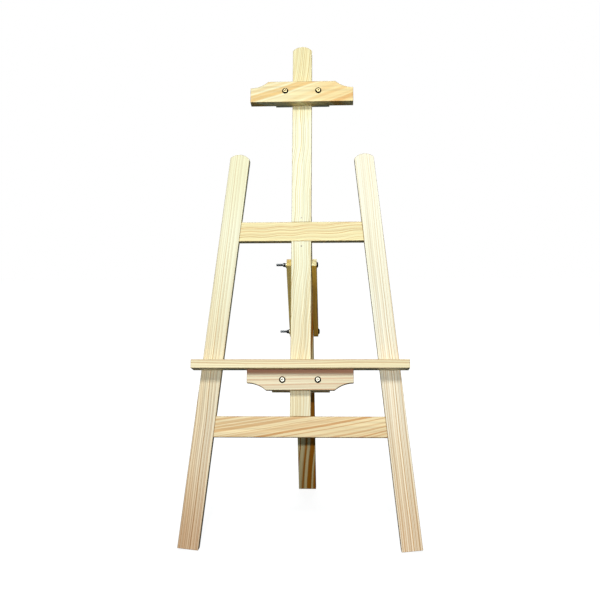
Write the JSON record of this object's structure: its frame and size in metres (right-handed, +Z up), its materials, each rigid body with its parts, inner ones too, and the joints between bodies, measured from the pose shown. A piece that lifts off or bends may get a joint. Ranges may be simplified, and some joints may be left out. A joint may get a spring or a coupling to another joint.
{
  "type": "wooden display easel",
  "caption": "Wooden A-frame display easel with a clamped top holder and shelf on a central mast and a hinged, braced rear leg.",
  "frame": {"origin": "middle of the floor area that the easel covers, on the floor", "axes": "+Z up, front (shelf side) toward -Y, +X to the right seen from the front"},
  "size_m": [0.5168, 0.4832, 1.1134],
  "materials": {
    "pine": "planed unfinished pine",
    "pine_orange": "planed unfinished pine with strong grain",
    "pine_shade": "planed unfinished pine",
    "dowel": "beech dowel",
    "zinc": "bright zinc plate"
  },
  "bodies": {
    "frame": {"left_leg": "pine", "right_leg": "pine", "mast": "pine", "upper_crossbar": "pine_orange", "lower_crossbar": "pine_orange", "crossbar_dowels": "dowel", "hinge_block": "pine", "block_nails": "zinc", "hinge_fixed_leaf": "zinc", "hinge_fixed_screws": "zinc", "hinge_pin": "zinc", "brace_upper_bolt": "zinc", "brace_upper_washer": "zinc"},
    "top_holder": {"top_holder_board": "pine_orange", "top_clamp_block": "pine", "top_clamp_bolts": "zinc", "top_clamp_washers": "zinc"},
    "shelf": {"shelf_board": "pine", "shelf_hanger": "pine_orange", "shelf_screws": "zinc", "shelf_clamp_block": "pine", "shelf_clamp_bolts": "zinc", "shelf_clamp_washers": "zinc"},
    "rear_leg": {"rear_leg": "pine_shade", "hinge_leg_leaf": "zinc", "hinge_leg_screws": "zinc", "brace_lower_bolt": "zinc", "brace_lower_washer": "zinc"},
    "brace": {"brace_bar_left": "pine_shade", "brace_bar_right": "pine_shade"},
    "brace_upper_nut": {"brace_upper_wing_nut": "zinc"},
    "brace_lower_nut": {"brace_lower_wing_nut": "zinc"},
    "top_nut_left": {"top_wing_nut_left": "zinc"},
    "top_nut_right": {"top_wing_nut_right": "zinc"},
    "shelf_nut_left": {"shelf_wing_nut_left": "zinc"},
    "shelf_nut_right": {"shelf_wing_nut_right": "zinc"}
  },
  "joints": [
    {"name": "top_holder_slide", "type": "slide", "parent": "frame", "child": "top_holder", "axis": [0, 0.2756, 0.9613], "range_m": [-0.26, 0.09]},
    {"name": "shelf_slide", "type": "slide", "parent": "frame", "child": "shelf", "axis": [0, 0.2756, 0.9613], "range_m": [-0.07, 0.18]},
    {"name": "rear_leg_fold", "type": "hinge", "parent": "frame", "child": "rear_leg", "pos_m": [0, -0.01373, 0.65506], "axis": [1, 0, 0], "range_deg": [-36, 0]},
    {"name": "brace_fold", "type": "hinge", "parent": "frame", "child": "brace", "pos_m": [0, -0.04256, 0.59623], "axis": [1, 0, 0], "range_deg": [-45, 0.5]},
    {"name": "top_nut_left_turn", "type": "hinge", "parent": "top_holder", "child": "top_nut_left", "pos_m": [-0.0385, 0.07709, 0.98376], "axis": [0, 0.9613, -0.2756], "continuous": true},
    {"name": "top_nut_right_turn", "type": "hinge", "parent": "top_holder", "child": "top_nut_right", "pos_m": [0.0385, 0.07709, 0.98376], "axis": [0, 0.9613, -0.2756], "continuous": true},
    {"name": "shelf_nut_left_turn", "type": "hinge", "parent": "shelf", "child": "shelf_nut_left", "pos_m": [-0.0385, -0.10869, 0.33587], "axis": [0, 0.9613, -0.2756], "continuous": true},
    {"name": "shelf_nut_right_turn", "type": "hinge", "parent": "shelf", "child": "shelf_nut_right", "pos_m": [0.0385, -0.10869, 0.33587], "axis": [0, 0.9613, -0.2756], "continuous": true},
    {"name": "brace_upper_nut_turn", "type": "hinge", "parent": "frame", "child": "brace_upper_nut", "pos_m": [-0.0365, -0.04256, 0.59623], "axis": [-1, 0, 0], "continuous": true},
    {"name": "brace_lower_nut_turn", "type": "hinge", "parent": "rear_leg", "child": "brace_lower_nut", "pos_m": [-0.0365, 0.07484, 0.43189], "axis": [-1, 0, 0], "continuous": true}
  ],
  "couplings": [
    {"joint": "brace_fold", "follows": "rear_leg_fold", "ratio": 1.246}
  ]
}
